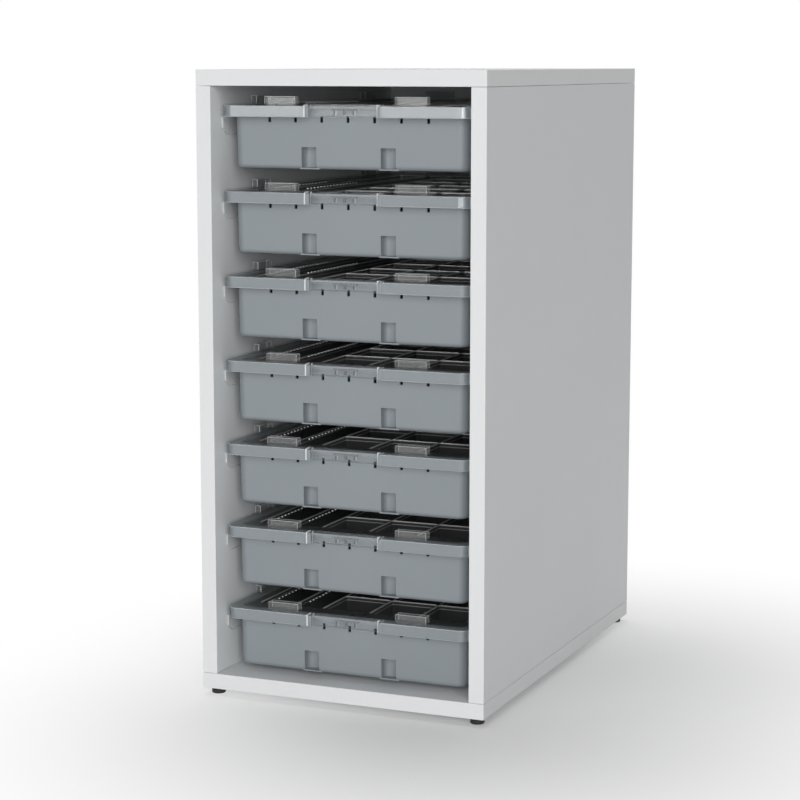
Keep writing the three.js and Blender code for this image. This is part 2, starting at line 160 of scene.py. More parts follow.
# Sorting insert.
INSERT_TOP = INSERT_HIGH.z - TRAY_LOW.z
INSERT_BASE = INSERT_LOW.z - TRAY_LOW.z
INSERT_PLATE = 2.0
INSERT_WALL = 1.6
INSERT_FLOOR = 1.5
INSERT_FIT = 2.0
BLOCK_FIT = 3.5
BLOCK_RADIUS = 8.0
INSERT_FROM_RECESS = 11.0
INSERT_FRONT = RECESS_LINING + INSERT_FROM_RECESS
FLOOR_INSET = BODY_DRAFT + BOTTOM_FILLET + BLOCK_FIT
INSERT_HALF = BODY_WIDTH / 2 - FLOOR_INSET
INSERT_REAR = BODY_LENGTH / 2 - FLOOR_INSET
INSERT_BORDER = INSERT_WALL + BLOCK_RADIUS * (1 - math.sqrt(0.5))
CHANNEL_WIDTHS = (40.6, 36.1)
COLUMNS = 3
ROWS = 6
POCKET_RADIUS = 3.0
POCKET_STEP = 0.07
POCKET_STEP_DROP = 4.3
POCKET_STEP_RISE = 0.6
MOUTH_FLARE = 0.15
MOUTH_RISE = 1.2
RIDGE_FLARE = 0.79
RIDGE_RISE = 0.1

# Runner.
RUNNER_TOP = RUNNER_HIGH.z - TRAY_LOW.z
RUNNER_BOTTOM = RUNNER_LOW.z - TRAY_LOW.z
RUNNER_FRONT = RUNNER_LOW.y
RUNNER_REAR = RUNNER_HIGH.y
LEDGE_INSIDE = RUNNER_LOW.x
WALL_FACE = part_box("right_side_panel")[0].x / MM - FIT_GAP
WEB = 2.4
LEDGE = 2.2
CHAMFER_RUN = 10.0
CHAMFER_RISE = 7.5
RUNNER_EDGE = 0.4

# Boards and glides.
EDGING = 1.0
BOARD_EDGE = 0.6
GLIDE_SEAT = 7.7
GLIDE_CHAMFER = 0.4
GLIDE_EDGE = 0.12
SPIGOT_RADIUS = 3.0

# Outline of a glide up to its seat: steps in from its radius, and heights.
GLIDE_OUTLINE = (
    (1.4, 0.0),
    (0.5, 0.35),
    (0.0, 1.2),
    (0.0, 4.4),
    (0.7, 4.9),
    (0.7, 5.6),
    (0.0, 6.1),
    (0.0, GLIDE_SEAT - GLIDE_CHAMFER),
    (GLIDE_CHAMFER, GLIDE_SEAT),
)

# Steps of the round shapes.
CORNER_STEPS = 10
FILLET_STEPS = 6
TURN_STEPS = 40
POCKET_STEPS = 4
PIP_STEPS = 8
EDGE_STEPS = 2
BOARD_EDGE_STEPS = 3

# Angles in degrees: an edge that turns by more is sharp.
SHARP = 40
GLIDE_SHARP = 50
INSERT_SHARP = 10

# Parts of a face's normal along an axis, from a face that hardly leans that way to one that faces it.
HARDLY = 0.05
SLIGHTLY = 0.3
MOSTLY = 0.5
NEARLY = 0.9
FULLY = 0.99
LID_TURN = (0.78, 0.98)

# Material slots after the first. LUG, TOP and UNDERSIDE are the lid's, STRIP and CLIP the label holder's.
# On the clear parts and the insert, EDGE and END hold painted highlights and LUG, STRIP and CLIP painted
# shade or sheen; on the boards EDGE is their real edging.
EDGE = 1
END = 2
LUG = 3
STRIP = 3
CLIP = 4
TOP = 4
UNDERSIDE = 5

# Surfaces.
TONE_SPAN = (0.3, 0.7)
SLOW_DETAIL = 4.0
GRAIN_DETAIL = 2.0
GRAIN_HEIGHT = 0.0002
FLOW_SCALE = 60.0
BOARD_SPECULAR = 0.05
RIDGE_IOR = 2.1
CLEAR_TINT = (0.98, 0.985, 0.985)
CLEAR_ROUGH = (0.04, 0.08)
MIRROR_POWER = 5.0

# Floor, light and camera, in metres apart from the floor's half width, the lens and the sensor.
# The floor's shade lies round a short line and fades out to white.
FLOOR_HALF = 20000.0
FLOOR_COLOUR = (0.9, 0.9, 0.9, 1)
FLOOR_ROUGH = 0.9
SHADE_MIDDLE = (0.16, -0.14, 0.0)
SHADE_HALF = (0.0, 0.124, 0.0)
SHADE_FADE = 0.677
SHADE_WHITE = 0.15
SKY_LIGHT = 0.095
CAMERA_PLACE = (1.0295, -2.5278, 0.7268)
CAMERA_TURN = math.radians(22.897)
CAMERA_TILT = math.radians(8.492)
CAMERA_LENS = 101.79
CAMERA_SENSOR = 36.0
CAMERA_REACH = 50.0


# Mesh making.
def new_object(name, vertices, faces):
    mesh = bpy.data.meshes.new(name)
    mesh.from_pydata([Vector(point) * MM for point in vertices], [], faces)
    mesh.update()
    piece = bpy.data.objects.new(name, mesh)
    bpy.context.scene.collection.objects.link(piece)
    return piece


def ring(width, length, radius, z, steps=CORNER_STEPS):
    """A rectangle with round corners at one height, counter-clockwise from above."""
    points = []
    for quarter, (sx, sy) in enumerate(((1, 1), (-1, 1), (-1, -1), (1, -1))):
        for step in range(steps + 1):
            angle = math.pi / 2 * (quarter + step / steps)
            x = sx * (width / 2 - radius) + radius * math.cos(angle)
            y = sy * (length / 2 - radius) + radius * math.sin(angle)
            points.append((x, y, z))
    return points


def inset_ring(width, length, radius, by, z):
    return ring(width - 2 * by, length - 2 * by, radius - by, z)


def loft(name, rings):
    """A closed skin over a row of rings, with a flat end on the first and on the last."""
    count = len(rings[0])
    faces = [tuple(reversed(range(count)))]
    for level in range(len(rings) - 1):
        low, high = level * count, (level + 1) * count
        for k in range(count):
            after = (k + 1) % count
            faces.append((low + k, low + after, high + after, high + k))
    last = (len(rings) - 1) * count
    faces.append(tuple(range(last, last + count)))
    return new_object(name, [point for each in rings for point in each], faces)


def prism(name, outline, low, high):
    """A prism along X over an outline of (y, z) corners, counter-clockwise seen from +X."""
    count = len(outline)
    vertices = [(low, y, z) for y, z in outline] + [(high, y, z) for y, z in outline]
    faces = [tuple(reversed(range(count))), tuple(range(count, 2 * count))]
    for k in range(count):
        after = (k + 1) % count
        faces.append((k, after, count + after, count + k))
    return new_object(name, vertices, faces)


def upright(name, plan, low, high):
    """An upright prism over a plan of (x, y) corners, counter-clockwise from above."""
    return loft(name, [[(x, y, z) for x, y in plan] for z in (low, high)])


def block(name, x, y, z):
    return prism(name, [(y[0], z[0]), (y[1], z[0]), (y[1], z[1]), (y[0], z[1])], x[0], x[1])


def lathe(name, profile, centre, steps=TURN_STEPS):
    """A turned solid about an upright axis, from (radius, height) points, lowest first."""
    rings = []
    for radius, height in profile:
        turn = [2 * math.pi * step / steps for step in range(steps)]
        rings.append(
            [(centre[0] + radius * math.cos(a), centre[1] + radius * math.sin(a), height) for a in turn]
        )
    return loft(name, rings)


def applied(piece):
    """Turns the piece's modifiers into its mesh."""
    evaluated = piece.evaluated_get(bpy.context.evaluated_depsgraph_get())
    mesh = bpy.data.meshes.new_from_object(evaluated)
    piece.modifiers.clear()
    former = piece.data
    piece.data = mesh
    bpy.data.meshes.remove(former)
    return piece


def combined(piece, others, operation):
    for other in others:
        modifier = piece.modifiers.new(operation.lower(), "BOOLEAN")
        modifier.object = other
        modifier.operation = operation
        modifier.solver = "EXACT"
        bpy.context.view_layer.update()
        applied(piece)
        mesh = other.data
        bpy.data.objects.remove(other)
        bpy.data.meshes.remove(mesh)
    return piece


def finished(piece, *materials):
    for material in materials:
        piece.data.materials.append(material)
    return piece


def evened(piece):
    """Keeps large faces evenly lit beside the narrow faces of rounded edges, and applies the modifiers."""
    normals = piece.modifiers.new("even shading", "WEIGHTED_NORMAL")
    normals.keep_sharp = True
    normals.weight = 100
    bpy.context.view_layer.update()
    return applied(piece)


def softened(piece, width, segments=EDGE_STEPS, angle=SHARP, edges=-1):
    """Rounds the sharp edges a little and shades the piece smoothly. The edges can get their own material."""
    modifier = piece.modifiers.new("soft edges", "BEVEL")
    modifier.width = width * MM
    modifier.segments = segments
    modifier.limit_method = "ANGLE"
    modifier.angle_limit = math.radians(angle)
    modifier.material = edges
    for polygon in piece.data.polygons:
        polygon.use_smooth = True
    return evened(piece)


def shaded(piece, angle=SHARP):
    """Drops older normals and shades smoothly, apart from edges that turn by more than the angle."""
    kept = piece.data.attributes.get("custom_normal")
    if kept:
        piece.data.attributes.remove(kept)
    for polygon in piece.data.polygons:
        polygon.use_smooth = True
    piece.data.set_sharp_from_angle(angle=math.radians(angle))
    return evened(piece)


def painted(piece, slot, chosen):
    """Gives the material of a slot to the faces whose middle and normal are chosen."""
    for polygon in piece.data.polygons:
        if chosen(polygon.center / MM, polygon.normal):
            polygon.material_index = slot
    return piece


# Materials.
def blank_material(name):
    material = bpy.data.materials.new(name)
    material.use_nodes = True
    nodes = material.node_tree.nodes
    return material, nodes, material.node_tree.links, nodes["Principled BSDF"]


def noise(nodes, links, scale, detail=SLOW_DETAIL):
    place = nodes.new("ShaderNodeTexCoord")
    texture = nodes.new("ShaderNodeTexNoise")
    texture.inputs["Scale"].default_value = scale
    texture.inputs["Detail"].default_value = detail
    links.new(place.outputs["Object"], texture.inputs["Vector"])
    return texture.outputs["Fac"]


def ranged(nodes, links, value, low, high):
    spread = nodes.new("ShaderNodeMapRange")
    spread.inputs["To Min"].default_value = low
    spread.inputs["To Max"].default_value = high
    links.new(value, spread.inputs["Value"])
    return spread.outputs["Result"]


def tinted(nodes, links, value, dark, light):
    ramp = nodes.new("ShaderNodeValToRGB")
    for element, colour, position in zip(ramp.color_ramp.elements, (dark, light), TONE_SPAN):
        element.color = (*colour, 1)
        element.position = position
    links.new(value, ramp.inputs["Fac"])
    return ramp.outputs["Color"]


def bumped(nodes, links, height, shader, strength):
    bump = nodes.new("ShaderNodeBump")
    bump.inputs["Strength"].default_value = strength
    bump.inputs["Distance"].default_value = GRAIN_HEIGHT
    links.new(height, bump.inputs["Height"])
    links.new(bump.outputs["Normal"], shader.inputs["Normal"])


def textured_material(name, dark, light, rough, scales, bump):
    """A moulded or faced surface: slow tone changes, a fine grain and a roughness that varies a little."""
    material, nodes, links, shader = blank_material(name)
    slow = noise(nodes, links, scales[0])
    grain = noise(nodes, links, scales[1], GRAIN_DETAIL)
    links.new(tinted(nodes, links, slow, dark, light), shader.inputs["Base Color"])
    links.new(ranged(nodes, links, slow, *rough), shader.inputs["Roughness"])
    bumped(nodes, links, grain, shader, bump)
    return material


def sheet_material(name, gloss, haze=0.0):
    """Thin clear plastic, at times hazy: see-through where it is faced, a mirror where looked at flatly."""
    material, nodes, links, shader = blank_material(name)
    nodes.remove(shader)
    facing = nodes.new("ShaderNodeLayerWeight")
    steep = nodes.new("ShaderNodeMath")
    steep.operation = "POWER"
    steep.inputs[1].default_value = MIRROR_POWER
    links.new(facing.outputs["Facing"], steep.inputs[0])
    mirror = nodes.new("ShaderNodeBsdfGlossy")
    flow = noise(nodes, links, FLOW_SCALE)
    links.new(ranged(nodes, links, flow, *CLEAR_ROUGH), mirror.inputs["Roughness"])
    through = nodes.new("ShaderNodeBsdfTransparent")
    through.inputs["Color"].default_value = (*CLEAR_TINT, 1)
    milk = nodes.new("ShaderNodeBsdfDiffuse")
    body = nodes.new("ShaderNodeMixShader")
    body.inputs["Fac"].default_value = haze
    links.new(through.outputs["BSDF"], body.inputs[1])
    links.new(milk.outputs["BSDF"], body.inputs[2])
    mix = nodes.new("ShaderNodeMixShader")
    links.new(ranged(nodes, links, steep.outputs[0], *gloss), mix.inputs["Fac"])
    links.new(body.outputs["Shader"], mix.inputs[1])
    links.new(mirror.outputs["BSDF"], mix.inputs[2])
    links.new(mix.outputs["Shader"], nodes["Material Output"].inputs["Surface"])
    return material


def hazy_material(name, colour, cover, rough):
    """A satin veil over a share of what lies behind it: the runner's milky plastic, and painted highlights,
    sheen and shade on the clear parts.
    """
    material, nodes, links, shader = blank_material(name)
    shader.inputs["Base Color"].default_value = (*colour, 1)
    shader.inputs["Alpha"].default_value = cover
    flow = noise(nodes, links, FLOW_SCALE)
    links.new(ranged(nodes, links, flow, *rough), shader.inputs["Roughness"])
    return material


board = textured_material(
    "white_board", dark=(0.775, 0.79, 0.80), light=(0.79, 0.805, 0.815),
    rough=(0.42, 0.5), scales=(6.0, 900.0), bump=0.06,
)
edging = textured_material(
    "white_edging", dark=(0.785, 0.795, 0.80), light=(0.795, 0.805, 0.81),
    rough=(0.34, 0.4), scales=(9.0, 1600.0), bump=0.04,
)
for faced in (board, edging):
    faced.node_tree.nodes["Principled BSDF"].inputs["Specular IOR Level"].default_value = BOARD_SPECULAR
grey_plastic = textured_material(
    "grey_plastic", dark=(0.242, 0.27, 0.29), light=(0.253, 0.281, 0.301),
    rough=(0.42, 0.52), scales=(14.0, 1400.0), bump=0.12,
)
black_plastic = textured_material(
    "black_plastic", dark=(0.045, 0.046, 0.048), light=(0.055, 0.056, 0.058),
    rough=(0.25, 0.32), scales=(20.0, 1200.0), bump=0.05,
)
# Near-white paint for the slanted faces of the insert's ridges and steps: a painted highlight along the black
# dividers.
ridge_and_step_highlight = textured_material(
    "ridge_and_step_highlight", dark=(0.75, 0.745, 0.735), light=(0.8, 0.795, 0.785),
    rough=(0.14, 0.2), scales=(30.0, 1500.0), bump=0.05,
)
ridge_and_step_highlight.node_tree.nodes["Principled BSDF"].inputs["IOR"].default_value = RIDGE_IOR
foot_plastic = textured_material(
    "foot_plastic", dark=(0.008, 0.008, 0.009), light=(0.012, 0.012, 0.013),
    rough=(0.45, 0.6), scales=(40.0, 1500.0), bump=0.15,
)
beech = textured_material(
    "beech", dark=(0.5, 0.36, 0.21), light=(0.62, 0.47, 0.3),
    rough=(0.55, 0.7), scales=(120.0, 900.0), bump=0.3,
)
clear_plastic = sheet_material("clear_plastic", gloss=(0.04, 0.28))
top_plastic = sheet_material("top_plastic", gloss=(0.005, 0.28), haze=0.035)
under_plastic = sheet_material("under_plastic", gloss=(0.0, 0.1))
holder_plastic = sheet_material("holder_plastic", gloss=(0.02, 0.28))
# A pale veil on edges of the clear parts: a painted highlight.
pale_edge_highlight = hazy_material("pale_edge_highlight", (0.9, 0.92, 0.93), cover=0.5, rough=(0.15, 0.25))
# A near-opaque white: the stronger painted highlight, on ends facing +X, the dots, the side lugs' edges and
# the sill's edge.
strong_highlight = hazy_material("strong_highlight", (0.93, 0.94, 0.95), cover=0.9, rough=(0.15, 0.25))
# A grey veil over the clear lugs: painted shade and sheen for how they look.
lug_shade_and_sheen = hazy_material("lug_shade_and_sheen", (0.45, 0.455, 0.45), cover=0.16, rough=(0.1, 0.2))
# A pale veil on the front of the holder's top strip: a painted sheen.
strip_sheen = hazy_material("strip_sheen", (0.7, 0.72, 0.73), cover=0.15, rough=(0.1, 0.2))
# A dark veil on the clip and under the strip: painted shade.
clip_shade = hazy_material("clip_shade", (0.12, 0.125, 0.13), cover=0.4, rough=(0.1, 0.2))
milky_plastic = hazy_material("milky_plastic", (0.92, 0.93, 0.94), cover=0.08, rough=(0.12, 0.2))
# A stronger milky veil on the runner's front face and the underside of its front: a painted highlight.
runner_front_highlight = hazy_material("runner_front_highlight", (0.92, 0.93, 0.94), cover=0.5, rough=(0.15, 0.25))


def dressed(piece, body, node):
    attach(piece, body)
    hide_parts(node)


def copies(first, name, places):
    """The piece itself at the first place and twins of it, with the same mesh, at the others."""
    made = []
    for number, place in places.items():
        piece = first if not made else bpy.data.objects.new(name, first.data)
        if made:
            bpy.context.scene.collection.objects.link(piece)
        piece.name = f"{name}_{number}"
        piece.location = Vector(place) * MM
        made.append((number, piece))
    return made


tray_places = {number: (0.0, TRAY_MIDDLE, base) for number, base in TRAY_BASE.items()}


# Tray.
def fillet_rings(width, length, radius, fillet, floor, inside=False):
    """Rings of a rounded bottom edge, from the floor up, or from the wall down on the inside."""
    rings = []
    for step in range(FILLET_STEPS + 1):
        angle = math.pi / 2 * step / FILLET_STEPS
        by = fillet * (1 - math.sin(angle))
        z = floor + fillet * (1 - math.cos(angle))
        rings.append(inset_ring(width, length, radius, by, z))
    return list(reversed(rings)) if inside else rings


def tray_skin():
    bottom_width, bottom_length = BODY_WIDTH - 2 * BODY_DRAFT, BODY_LENGTH - 2 * BODY_DRAFT
    inner_width, inner_length = bottom_width - 2 * TRAY_WALL, bottom_length - 2 * TRAY_WALL
    inner_radius = BODY_RADIUS - TRAY_WALL
    inner_fillet = BOTTOM_FILLET - TRAY_WALL
    rings = fillet_rings(bottom_width, bottom_length, BODY_RADIUS, BOTTOM_FILLET, 0.0)
    rings.append(ring(BODY_WIDTH, BODY_LENGTH, BODY_RADIUS, FLANGE_UNDERSIDE))
    rings.append(inset_ring(TRAY_WIDTH, TRAY_LENGTH, RIM_RADIUS, LIP_WALL, FLANGE_UNDERSIDE))
    rings.append(inset_ring(TRAY_WIDTH, TRAY_LENGTH, RIM_RADIUS, LIP_WALL, LIP_BOTTOM))
    rings.append(ring(TRAY_WIDTH, TRAY_LENGTH, RIM_RADIUS, LIP_BOTTOM))
    rings.append(ring(TRAY_WIDTH, TRAY_LENGTH, RIM_RADIUS, TRAY_HEIGHT))
    rings.append(inset_ring(BODY_WIDTH, BODY_LENGTH, BODY_RADIUS, TRAY_WALL, TRAY_HEIGHT))
    rings += fillet_rings(inner_width, inner_length, inner_radius, inner_fillet, TRAY_FLOOR, inside=True)
    return loft("tray", rings)


def wall_middle(z):
    return BODY_FRONT + BODY_DRAFT * (1 - z / FLANGE_UNDERSIDE) + TRAY_WALL / 2


def recess(x):
    """The hollow of a recess, open to the front, with round corners at its back."""
    length = 2 * RECESS_DEPTH
    middle = RECESS_BACK - length / 2
    rings = [ring(RECESS_WIDTH, length, RECESS_RADIUS, z, POCKET_STEPS) for z in (RECESS_SILL, RECESS_HEIGHT)]
    return loft("recess", [[(px + x, py + middle, pz) for px, py, pz in level] for level in rings])


def tray():
    piece = tray_skin()
    linings, cutters = [], []
    top, base = RECESS_HEIGHT + TRAY_WALL, TRAY_FLOOR / 2
    for x in RECESS_PLACES:
        low, high = x - RECESS_WIDTH / 2, x + RECESS_WIDTH / 2
        outline = [
            (wall_middle(BOTTOM_FILLET), BOTTOM_FILLET),
            (WALL_FOOT + BOTTOM_FILLET, base),
            (RECESS_LINING, base),
            (RECESS_LINING, top),
            (wall_middle(top), top),
        ]
        linings.append(prism("lining", outline, low - TRAY_WALL, high + TRAY_WALL))
        sill = (low - SILL_OVERHANG, high + SILL_OVERHANG)
        linings.append(block("sill", sill, (WALL_FOOT + SILL_SETBACK, RECESS_BACK), (0.0, RECESS_SILL)))
        cutters.append(recess(x))
    for x in SLOT_PLACES:
        across = (x - SLOT_WIDTH / 2, x + SLOT_WIDTH / 2)
        through = (BODY_FRONT - CUT_PAST, WALL_FOOT + TRAY_WALL + CUT_PAST)
        cutters.append(block("slot", across, through, (LIP_BOTTOM - SLOT_DROP, LIP_BOTTOM + SLOT_RISE)))
    half = HOLDER_HALF + FIT_GAP
    heights = (LIP_BOTTOM - CUT_PAST, TRAY_HEIGHT + CUT_PAST)
    cutters.append(block("notch", (-half, half), (LID_FRONT, NOTCH_BACK), heights))
    combined(piece, linings, "UNION")
    combined(piece, cutters, "DIFFERENCE")
    return softened(finished(piece, grey_plastic), TRAY_EDGE)


# Lid.
def lid_skin():
    rings = [
        inset_ring(LID_WIDTH, LID_LENGTH, LID_RADIUS, SKIRT_WALL + INNER_CHAMFER, LID_UNDERSIDE),
        inset_ring(LID_WIDTH, LID_LENGTH, LID_RADIUS, SKIRT_WALL, LID_UNDERSIDE - INNER_CHAMFER),
        inset_ring(LID_WIDTH, LID_LENGTH, LID_RADIUS, SKIRT_WALL, SKIRT_BOTTOM),
        inset_ring(LID_WIDTH, LID_LENGTH, LID_RADIUS, SKIRT_FOOT, SKIRT_BOTTOM),
        ring(LID_WIDTH, LID_LENGTH, LID_RADIUS, SKIRT_BOTTOM + SKIRT_FOOT),
    ]
    for step in range(FILLET_STEPS + 1):
        angle = math.pi / 2 * step / FILLET_STEPS
        by = LID_ROUNDING * (1 - math.cos(angle))
        z = LID_TOP - LID_ROUNDING * (1 - math.sin(angle))
        rings.append(inset_ring(LID_WIDTH, LID_LENGTH, LID_RADIUS, by, z))
    return loft("lid", rings)


def lug_places():
    """Middle and size of each lug: one near each end of the front and rear edges and of the side edges."""
    end_y = LID_LENGTH / 2 - END_LUG_INSET - END_LUG[1] / 2
    side_x = LID_WIDTH / 2 - SIDE_LUG_INSET - SIDE_LUG[0] / 2
    side_y = LID_LENGTH / 2 - SIDE_LUG_FROM_END
    places = []
    for sx in (-1, 1):
        for sy in (-1, 1):
            places.append((sx * END_LUG_OFFSET, sy * end_y, END_LUG))
            places.append((sx * side_x, sy * side_y, SIDE_LUG))
    return places


def lug_blocks(x, y, width, length):
    """The outside of a lug and the hollow under it."""
    across, along = (x - width / 2, x + width / 2), (y - length / 2, y + length / 2)
    outside = block("lug", across, along, (LID_TOP - CUT_PAST, LUG_TOP))
    finished(outside, clear_plastic, pale_edge_highlight, strong_highlight, lug_shade_and_sheen)
    # The whole lug gets the painted grey veil of shade and sheen.
    painted(outside, LUG, lambda middle, normal: True)
    hollow = block(
        "hollow",
        (across[0] + LUG_WALL, across[1] - LUG_WALL),
        (along[0] + LUG_WALL, along[1] - LUG_WALL),
        (LID_UNDERSIDE - CUT_PAST, LUG_TOP - LUG_WALL),
    )
    # The lug's rounded edges get a painted highlight, the stronger one on the side lugs.
    return softened(outside, LUG_EDGE, edges=END if length > width else EDGE), hollow


def lid_pips():
    """A row of small raised dots on the lid along the middle of each long channel."""
    profile = [
        (PIP_RADIUS, LID_TOP - WELD),
        (PIP_RADIUS, LID_TOP),
        (PIP_RADIUS * PIP_TAPER, LID_TOP + PIP_HEIGHT),
    ]
    dots = bmesh.new()
    left = INSERT_BORDER - INSERT_HALF
    for width in CHANNEL_WIDTHS:
        for step in range(PIP_COUNT):
            y = INSERT_FRONT + INSERT_BORDER + PIP_PITCH * (step + 1)
            dot = lathe("dot", profile, (left + width / 2, y), PIP_STEPS)
            dots.from_mesh(dot.data)
            bpy.data.meshes.remove(dot.data)
        left += width + INSERT_WALL
    piece = new_object("pips", [], [])
    dots.to_mesh(piece.data)
    dots.free()
    # The dots are painted with the stronger highlight, as glints.
    finished(piece, clear_plastic, pale_edge_highlight, strong_highlight)
    return painted(piece, END, lambda middle, normal: True)


def skirt_gap():
    """The place of the label holder in the skirt, with the skirt's two front corners cut off."""
    wide = SKIRT_GAP_HALF + GAP_CHAMFER
    plan = [
        (wide, LID_FRONT - CUT_PAST),
        (wide, LID_FRONT),
        (SKIRT_GAP_HALF, LID_FRONT + GAP_CHAMFER),
        (SKIRT_GAP_HALF, LID_GAP_BACK),
    ]
    plan += [(-x, y) for x, y in reversed(plan)]
    return upright("gap", plan, SKIRT_BOTTOM - CUT_PAST, LID_TOP + CUT_PAST)


def on_lid_edge(middle, normal):
    """Says if a face is in the corner under the lid's top, the foot of the skirt or the turn at a corner."""
    corner = LID_UNDERSIDE - INNER_CHAMFER < middle.z < LID_UNDERSIDE - CLOSE
    foot = middle.z < SKIRT_BOTTOM + SKIRT_FOOT and normal.z > CLOSE - 1
    round_corner = LID_TURN[0] < abs(normal.x) < LID_TURN[1] and normal.y * middle.y > 0
    return corner or foot or round_corner and middle.z < LID_TOP - LID_ROUNDING


def on_skirt_end(middle, normal):
    """Says if a face is an end of the skirt beside the label holder."""
    beside = abs(middle.x) < SKIRT_GAP_HALF + GAP_CHAMFER
    return beside and middle.y < LID_GAP_BACK and abs(normal.x) > MOSTLY


def lid():
    piece = finished(
        lid_skin(), clear_plastic, pale_edge_highlight, strong_highlight, lug_shade_and_sheen, top_plastic, under_plastic
    )
    combined(piece, [skirt_gap()], "DIFFERENCE")
    painted(piece, TOP, lambda middle, normal: normal.z > FULLY)
    painted(piece, UNDERSIDE, lambda middle, normal: abs(middle.z - LID_UNDERSIDE) < CLOSE)
    # Painted highlights: a pale line in the corner under the top, along the skirt's foot, at the turns of the
    # corners and on the skirt's ends beside the holder.
    painted(piece, EDGE, on_lid_edge)
    painted(piece, EDGE, on_skirt_end)
    # The skirt's ends facing +X get the stronger painted highlight.
    painted(piece, END, lambda middle, normal: on_skirt_end(middle, normal) and normal.x > 0)
    lugs = [lug_blocks(x, y, *size) for x, y, size in lug_places()]
    combined(piece, [outside for outside, _ in lugs], "UNION")
    combined(piece, [hollow for _, hollow in lugs], "DIFFERENCE")
    return shaded(combined(piece, [lid_pips()], "UNION"))


# Label holder.
def holder_plate(name, front, low, high):
    """A plate across the holder with its two front corners cut off."""
    plan = [
        (HOLDER_HALF - HOLDER_CHAMFER, front),
        (HOLDER_HALF, front + HOLDER_CHAMFER),
        (HOLDER_HALF, HOLDER_BACK),
    ]
    plan += [(-x, y) for x, y in reversed(plan)]
    return upright(name, plan, low, high)


def clip():
    """The bar behind the plate and its legs, which hold the holder in the rim."""
    bottom = CLIP_BAR_TOP - CLIP_BAR_HEIGHT
    back = (HOLDER_BACK - WELD, HOLDER_HOOK_BACK)
    parts = [block("bar", (-CLIP_BAR_HALF, CLIP_BAR_HALF), back, (bottom, CLIP_BAR_TOP))]
    for x in CLIP_LEG_PLACES:
        across = (x - CLIP_LEG_HALF, x + CLIP_LEG_HALF)
        along = (HOLDER_BACK - WELD, HOLDER_BACK + CLIP_LEG_DEPTH)
        parts.append(block("leg", across, along, (bottom - CLIP_LEG_HEIGHT, bottom + WELD)))
    return parts


def tick(x):
    """The cutter of a short upright groove in the holder's top strip."""
    across = (x - TICK_WIDTH / 2, x + TICK_WIDTH / 2)
    along = (HOLDER_FRONT - CUT_PAST, HOLDER_FRONT + TICK_DEPTH)
    return block("tick", across, along, (STRIP_LOW - CUT_PAST, TRAY_HEIGHT + CUT_PAST))


def on_holder_end(middle, normal):
    """Says if a face is at an end of the holder or on the right side of an outer clip leg."""
    plate = abs(middle.x) > HOLDER_HALF - HOLDER_CHAMFER
    behind = middle.y > HOLDER_BACK and middle.z < CLIP_BAR_TOP - CLIP_BAR_HEIGHT
    outer_leg = behind and abs(middle.x) > CLIP_LEG_HALF
    return plate and abs(normal.x) > MOSTLY or outer_leg and normal.x > MOSTLY


def on_sill_edge(middle, normal):
    """Says if a face is on the rounded upper edge of the sill, in front of the plate."""
    at_top = abs(middle.z - SKIRT_BOTTOM - HOLDER_SILL) < HOLDER_EDGE
    return at_top and normal.z > SLIGHTLY and middle.y < HOLDER_FRONT + HOLDER_PROUD


def under_strip(middle, normal):
    """Says if a face is on the rounded lower edge of the top strip."""
    return normal.z < -SLIGHTLY and abs(middle.z - STRIP_LOW) < HOLDER_EDGE


def label_holder():
    wide = (-HOLDER_HALF, HOLDER_HALF)
    piece = holder_plate("label_holder", HOLDER_FRONT + HOLDER_PROUD, SKIRT_BOTTOM, HOLDER_TOP)
    others = [
        holder_plate("strip", HOLDER_FRONT, STRIP_LOW, TRAY_HEIGHT),
        holder_plate("sill", HOLDER_FRONT, SKIRT_BOTTOM, SKIRT_BOTTOM + HOLDER_SILL),
        block("hook", wide, (HOLDER_BACK - WELD, HOLDER_HOOK_BACK), (TRAY_HEIGHT + FIT_GAP, HOLDER_TOP)),
        *clip(),
    ]
    combined(piece, others, "UNION")
    combined(piece, [tick(x) for x in TICK_PLACES], "DIFFERENCE")
    finished(piece, holder_plastic, pale_edge_highlight, strong_highlight, strip_sheen, clip_shade)
    # The strip's front faces get the painted sheen.
    painted(piece, STRIP, lambda middle, normal: normal.y < -MOSTLY and STRIP_LOW < middle.z < TRAY_HEIGHT)
    # The clip behind the plate gets the painted shade.
    painted(piece, CLIP, lambda middle, normal: middle.y > HOLDER_BACK and middle.z < TRAY_HEIGHT)
    # The holder's ends and the right sides of the outer clip legs get the stronger painted highlight.
    painted(piece, END, on_holder_end)
    # The holder's rounded edges get the pale painted highlight.
    softened(piece, HOLDER_EDGE, edges=EDGE)
    # The strip's rounded lower edge gets the painted shade as a dark line.
    painted(piece, CLIP, under_strip)
    # The sill's upper edge gets the stronger painted highlight.
    return painted(piece, END, on_sill_edge)


# Sorting insert.
def spans(count, start, end):
    size = (end - start - (count - 1) * INSERT_WALL) / count
    return [(start + i * (size + INSERT_WALL), start + i * (size + INSERT_WALL) + size) for i in range(count)]


def insert_pockets():
    """The spans in x and y of the long channels and of the compartments."""
    rows = (INSERT_FRONT + INSERT_BORDER, INSERT_REAR - INSERT_BORDER)
    left = INSERT_BORDER - INSERT_HALF
    pockets = []
    for width in CHANNEL_WIDTHS:
        pockets.append(((left, left + width), rows))
        left += width + INSERT_WALL
    for column in spans(COLUMNS, left, INSERT_HALF - INSERT_BORDER):
        pockets += [(column, row) for row in spans(ROWS, *rows)]
    return pockets


